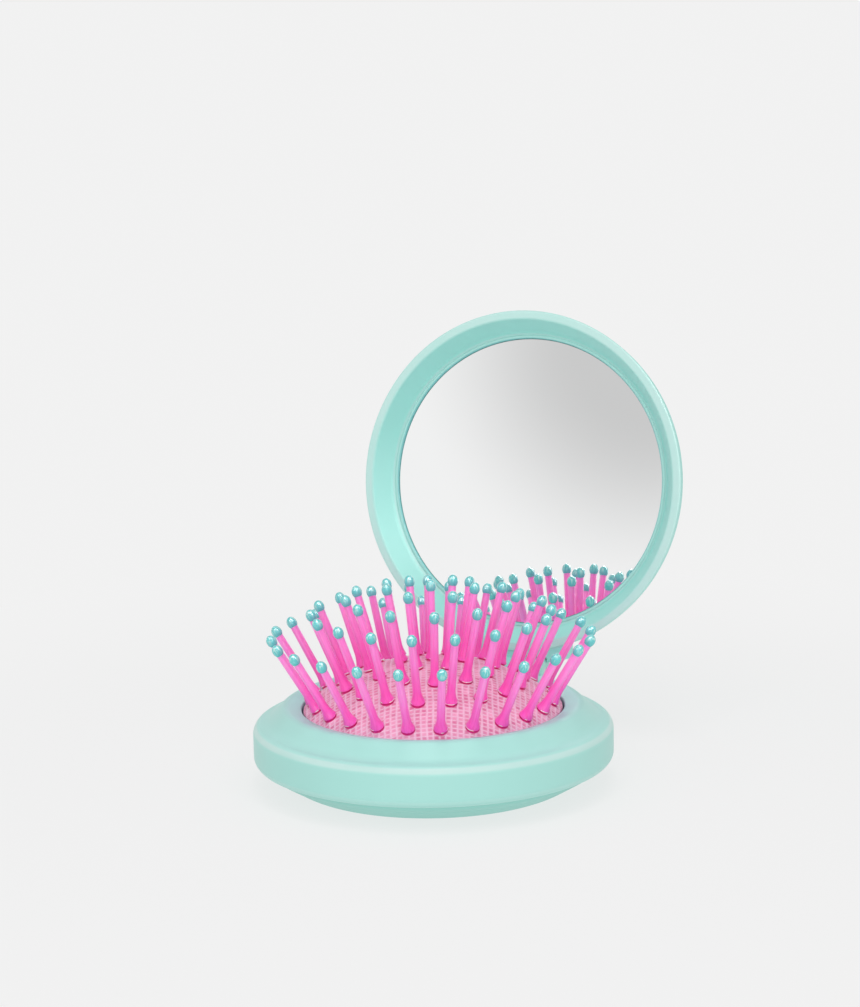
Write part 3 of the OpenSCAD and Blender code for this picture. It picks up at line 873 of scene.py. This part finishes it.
def makeLid(s):
    # the turned frame with flange, middle knuckle and its lug, all turned open, and the heel that the open lid rests
    # on; a cover domed by crown (1 - t^2); and the round glass
    h, rim, m = hingeShape, s["rim"], s["mirror"]
    mirrorLevel = rim + s["mirrorDepth"]
    ledge = mirrorLevel + s["glass"]
    back = ledge + s["seat"]
    y, z, half = h["y"], h["z"], h["middle"] / 2
    lug = softCorners([
        [35.2, rim + 0.75], [35.2, rim + 3.5], [y, z + h["knuckle"] - 0.15], [y, z - 1.5], [37.4, rim + 0.75]],
        [0.5, 0.5, 0.7, 1.0, 0.6])
    heel = softCorners([[y + a, z + b] for a, b in s["heel"]], [0.8, 0.8, 0.5, 0.5, 0.5, 0.8])
    width = (-half + h["lugInset"], half - h["lugInset"], h["webBevel"])
    parts = [openLid(part) for part in (
        revolve(lidSection(s, mirrorLevel, ledge, back), s["around"]), makeFlange(s, h),
        barrel(h, -half, half, h["pin"] + 0.06), slab(lug, *width))]
    parts.append(slab(heel, *width))
    makePiece("lidRim", parts, "lid", lidFinish, ["lid_rim"])
    across = np.linspace(1, 0, 40)
    *edge, (domeRadius, domeLevel) = [[a, rim + b] for a, b in s["coverEdge"]]
    dome = np.stack([domeRadius * across, domeLevel + s["crown"] * (1 - across ** 2)], 1)
    cover = [[0, back], [edge[0][0], back], *edge, dome]
    makePiece("lidBack", [openLid(revolve(cover, 240))], "lid", lidFinish, ["lid_back"])
    glass = [[0, mirrorLevel], [m * 0.5, mirrorLevel], [m - 0.03, mirrorLevel], [m, mirrorLevel + 0.03],
             [m, ledge], [0, ledge]]
    glassPart = openLid(revolve(glass, 240))
    makePiece("mirrorGlass", [glassPart], "lid", mirrorFinish, ["mirror_glass"], sharp=15)


makeLid(lidShape)
print("lid made")

innerNodes = {"hinge_pin": steelFinish, "plunger": innerFinish, "cushion_frame": innerFinish, "mirror_pad": foamFinish}
for node, finish in innerNodes.items():
    for slotEntry in nodes[node].material_slots:
        slotEntry.material = finish

# azimuth from the camera's own turn and elevation from the floor in degrees, then distance, width and height in metres,
# then watts; a name's start after them keeps a lamp to those pieces, and True keeps it to their shine
lamps = {
    "fillFront": (4, 10, 1.1, 0.9, 0.4, 2.6),
    "fillLeft": (-54, 32, 1.0, 0.5, 0.4, 0.5),
    "windowLeft": (-30, 64, 0.9, 0.1, 1.0, 0.95),
    "windowMiddle": (1, 64, 0.9, 0.1, 1.0, 0.8),
    "windowRight": (32, 64, 0.9, 0.1, 1.0, 0.95),
    "sheenTop": (0, 83, 0.9, 0.7, 0.5, 0.6, "ringShell", True),
    "sheenBackLeft": (-122, 47, 0.9, 0.6, 0.6, 0.8, "ringShell", True),
    "sheenBackRight": (122, 47, 0.9, 0.6, 0.6, 0.8, "ringShell", True),
    "sheenRight": (66, 42, 0.9, 0.8, 0.7, 16.5, "lidRim", True),
    "sheenLow": (64, 4, 0.9, 0.6, 0.5, 5.0, "lidRim", True),
    "fillPins": (2, 2, 0.9, 0.8, 0.1, 1.2, "pin"),
    "fillBack": (165, 32, 0.9, 0.7, 0.4, 1.4, "pin"),
    "glintLeft": (-52, 50, 0.9, 0.1, 0.75, 5.2, "tip", True),
    "glintMiddle": (-4, 54, 0.9, 0.1, 0.75, 5.2, "tip", True),
    "glintRight": (46, 50, 0.9, 0.1, 0.75, 5.2, "tip", True),
}
lampAim = (0, 0, 0.02)
lightLevels = {"ambient": 0.58, "backdrop": 0.8836}


def makeLamp(name, azimuth, elevation, distance, width, height, watts, onlyOn=None, shineOnly=False):
    # the pieces that a lamp is kept to are also all that shades it
    back = Vector(direction(cameraSettings["turn"] + azimuth, elevation))
    lamp = bpy.data.objects.new(name, bpy.data.lights.new(name, "AREA"))
    lamp.data.shape = "RECTANGLE"
    lamp.data.size, lamp.data.size_y = width, height
    lamp.data.energy = watts
    lamp.location = Vector(lampAim) + back * distance
    lamp.rotation_euler = (-back).to_track_quat("-Z", "Y").to_euler()
    lamp.visible_diffuse = lamp.visible_transmission = not shineOnly
    if onlyOn:
        lit = bpy.data.collections.new(name + "Pieces")
        for piece in bpy.data.objects:
            if piece.name.startswith(onlyOn):
                lit.objects.link(piece)
        lamp.light_linking.receiver_collection = lamp.light_linking.blocker_collection = lit
    bpy.context.scene.collection.objects.link(lamp)


for name, values in lamps.items():
    makeLamp(name, *values)


def makeWorld():
    # what the camera, a reflection or clear glass looks at is the backdrop; what lights the object is the ambient level
    world = bpy.data.worlds.new("studio")
    bpy.context.scene.world = world
    world.use_nodes = True
    tree = world.node_tree
    path = put(tree, "LightPath").outputs
    seen = calc(tree, "MAXIMUM", path["Is Camera Ray"], path["Is Glossy Ray"])
    seen = calc(tree, "MAXIMUM", seen, path["Is Transmission Ray"])
    colour = mixColour(tree, seen, grey(lightLevels["ambient"]), grey(lightLevels["backdrop"]))
    tree.links.new(colour, tree.nodes["Background"].inputs["Color"])


floorTone = {"paint": 0.93, "speckle": 0.01, "share": 0.2, "near": 0.08, "far": 0.2, "half": 3000, "level": -0.03}


def makeFloor(s):
    # a wide floor that keeps the shadow near the brush and fades into the backdrop further out
    half, z = s["half"], s["level"]
    points = np.array([[-half, -half, z], [half, -half, z], [half, half, z], [-half, half, z]], float)
    mesh = bpy.data.meshes.new("floor")
    mesh.from_pydata((points * mm).tolist(), [], [(0, 1, 2, 3)])
    floor = bpy.data.objects.new("floor", mesh)
    bpy.context.scene.collection.objects.link(floor)
    material, tree, shader = startMaterial("paleFloor", Roughness=0.9, Specular_IOR_Level=0.1)
    place = objectPlace(tree)
    near = ramp(tree, vectorCalc(tree, "LENGTH", {0: place}), s["near"], s["far"], 1.0, 0.0, smooth=True)
    speckle = noise(tree, place, 900.0, 2.0)
    dress(tree, shader, mixColour(tree, speckle, grey(s["paint"] - s["speckle"]), grey(s["paint"] + s["speckle"])))
    glow = put(tree, "Emission", {"Color": grey(lightLevels["backdrop"]), "Strength": 1.0})
    share = calc(tree, "MULTIPLY", near, s["share"])
    both = put(tree, "MixShader", {0: share, 1: glow.outputs[0], 2: shader.outputs[0]})
    tree.links.new(both.outputs[0], tree.nodes["Material Output"].inputs["Surface"])
    mesh.materials.append(material)


# a glowing grey card off to the side, no lamp, that puts a grey shade into the mirror's reflection, in metres from the
# mirror's middle and across the mirrored view
cardPlace = {
    "mirror": (0.0, 0.0508, 0.0525), "away": 1.0, "right": 0.104, "up": 0.081,
    "radius": 0.145, "dark": 0.59, "plateau": 0.04, "around": 96,
}


def makeCard(s):
    # a disc middle + radius (right cos a + up sin a) on a plane that faces the mirror along its line of sight; the
    # view's own directions d are mirrored as d - 2 n (n . d)
    lean = math.radians(hingeShape["open"] - 90)
    facing = np.array([0, -math.cos(lean), math.sin(lean)])
    flip = np.eye(3) - 2 * np.outer(facing, facing)
    turn, tilt = cameraSettings["turn"], cameraSettings["tilt"]
    back, right, up = (flip @ np.array(d) for d in (
        direction(turn, tilt), direction(turn + 90, 0), direction(turn, tilt + 90)))
    middle = np.array(s["mirror"]) - s["away"] * back + s["right"] * right + s["up"] * up
    a = np.linspace(0, 2 * np.pi, s["around"], endpoint=False)[:, None]
    points = middle + s["radius"] * (np.cos(a) * right + np.sin(a) * up)
    mesh = bpy.data.meshes.new("greyCard")
    mesh.from_pydata(points.tolist(), [], [tuple(range(s["around"]))])
    card = bpy.data.objects.new("greyCard", mesh)
    bpy.context.scene.collection.objects.link(card)
    # the card glows, dark in its middle and at the backdrop's level at its edge, and is hidden from the camera, from
    # diffuse light and from shadows, so it shows only in reflections, as a grey shade in the mirror
    material = bpy.data.materials.new("greyCard")
    material.use_nodes = True
    tree = material.node_tree
    away = vectorCalc(tree, "DISTANCE", {0: objectPlace(tree), 1: tuple(middle)})
    fade = ramp(tree, away, s["plateau"], s["radius"] * 0.98, s["dark"], lightLevels["backdrop"], smooth=True)
    glow = put(tree, "Emission", {"Color": fade, "Strength": 1.0})
    tree.links.new(glow.outputs[0], tree.nodes["Material Output"].inputs["Surface"])
    mesh.materials.append(material)
    card.visible_camera = card.visible_diffuse = card.visible_shadow = card.visible_transmission = False


makeWorld()
makeFloor(floorTone)
makeCard(cardPlace)
print("studio made")
